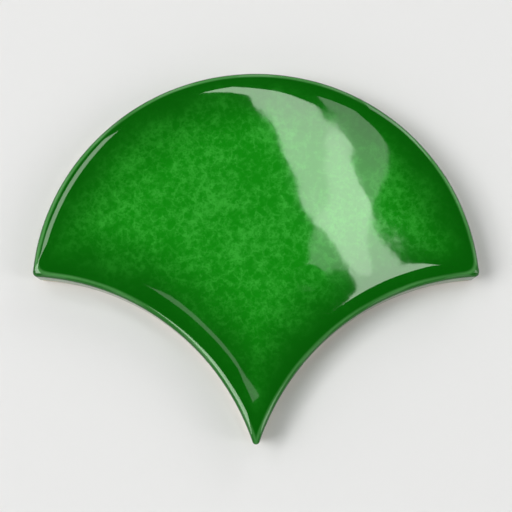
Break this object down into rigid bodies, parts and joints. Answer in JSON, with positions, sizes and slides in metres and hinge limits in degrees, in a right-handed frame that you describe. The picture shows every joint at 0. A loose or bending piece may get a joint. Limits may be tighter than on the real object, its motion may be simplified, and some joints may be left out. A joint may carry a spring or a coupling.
{
  "type": "fish scale tile",
  "caption": "Glazed ceramic wall tile with a half-round top and coved flanks that meet in a point, so that tiles nest in offset rows like fish scales.",
  "frame": {"origin": "centre of the half-round top, on the plane of the back", "axes": "+Z out of the glazed face, +X across the tile, -Y towards its point"},
  "size_m": [0.0728, 0.0621, 0.0064],
  "materials": {
    "green_glaze": "gloss"
  },
  "bodies": {
    "root": {"fish_scale_tile": "green_glaze"}
  },
  "joints": []
}
